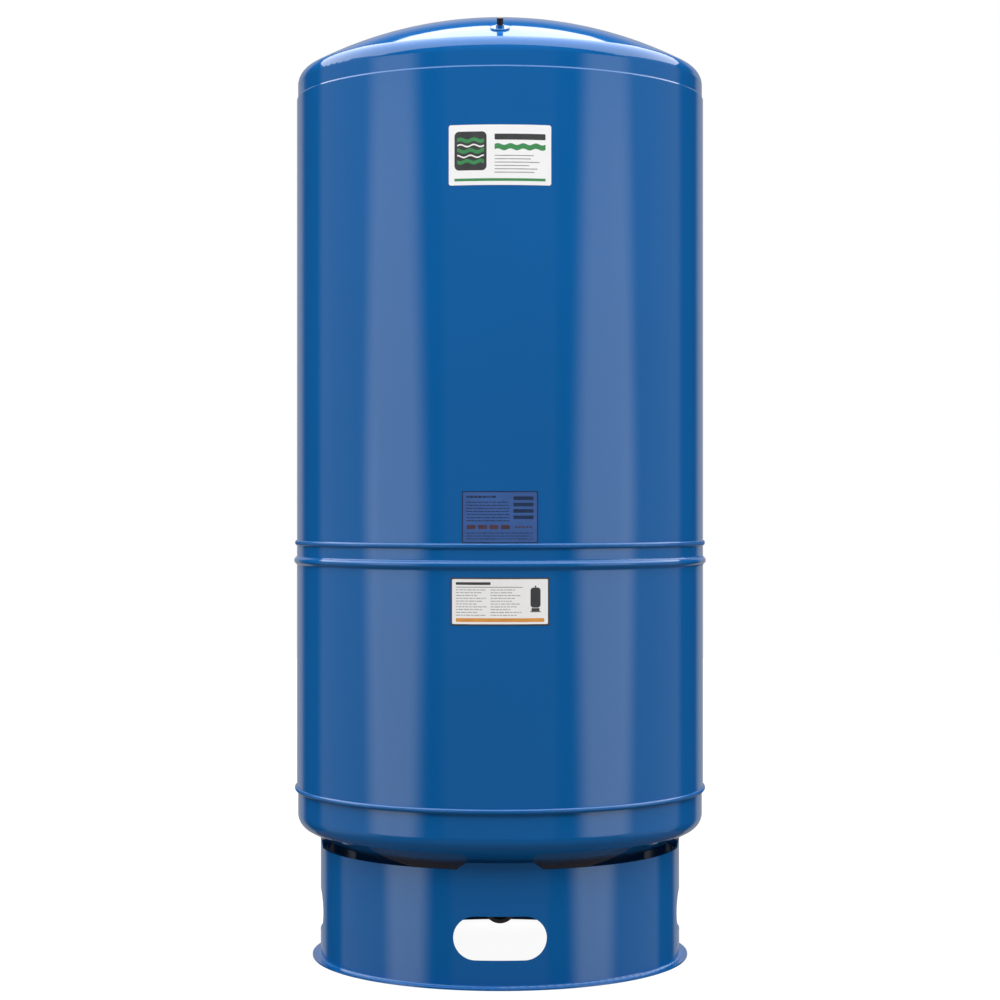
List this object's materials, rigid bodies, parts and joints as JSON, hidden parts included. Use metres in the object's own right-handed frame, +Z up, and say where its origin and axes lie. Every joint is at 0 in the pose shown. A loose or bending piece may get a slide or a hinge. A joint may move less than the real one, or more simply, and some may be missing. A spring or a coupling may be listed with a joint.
{
  "type": "well pressure tank",
  "caption": "Tall round steel pressure tank with dished heads on a flanged base skirt with hand holes, air valve on top, water elbow below.",
  "frame": {"origin": "on the floor under the tank's axis, at the bottom centre of its bounding box", "axes": "+Z up along the tank's axis; -Y points to the side with the labels, the air valve and the water fitting"},
  "size_m": [0.6693, 0.6694, 1.5117],
  "materials": {
    "tank_paint": "glossy blue enamel over steel",
    "stainless": "satin stainless steel",
    "plated_steel": "plain steel",
    "brass": "turned brass",
    "black_rubber": "matt moulded rubber",
    "liner_plastic": "natural moulded plastic",
    "cap_plastic": "black moulded plastic",
    "upper_label_film": "white printed film with no words",
    "data_label_foil": "pale foil with plain printed rules and no words",
    "lower_label_film": "white printed film with a plain orange band and no words"
  },
  "bodies": {
    "tank": {"top_head": "tank_paint", "upper_shell": "tank_paint", "lower_shell": "tank_paint", "bottom_head": "tank_paint", "top_weld": "tank_paint", "middle_weld": "tank_paint", "bottom_weld": "tank_paint", "upper_seam_weld": "tank_paint", "lower_seam_weld": "tank_paint", "base_skirt": "tank_paint", "skirt_seam_weld": "tank_paint", "skirt_tab_welds": "tank_paint", "valve_plate": "tank_paint", "water_elbow": "stainless", "elbow_weld": "stainless", "connection_nut": "stainless", "clinch_ring": "plated_steel", "core_spring": "plated_steel", "valve_stem": "brass", "core_barrel": "brass", "diaphragm": "black_rubber", "connection_seal": "black_rubber", "stem_seal": "black_rubber", "liner": "liner_plastic", "core_ring": "liner_plastic", "upper_label": "upper_label_film", "data_label": "data_label_foil", "lower_label": "lower_label_film"},
    "valve_pin": {"core_pin": "brass", "core_cup": "black_rubber"},
    "cap": {"valve_cap": "cap_plastic", "cap_seal": "black_rubber"}
  },
  "joints": [
    {"name": "pin_push", "type": "slide", "parent": "tank", "child": "valve_pin", "axis": [0, 0.4197, -0.9077], "range_m": [0, 0.0012], "stiffness_N_per_m": 1500, "springref_m": -0.002, "deforming": ["core_spring"]},
    {"name": "cap_lift", "type": "slide", "parent": "tank", "child": "cap", "axis": [0, -0.4197, 0.9077], "range_m": [0, 0.025]}
  ]
}
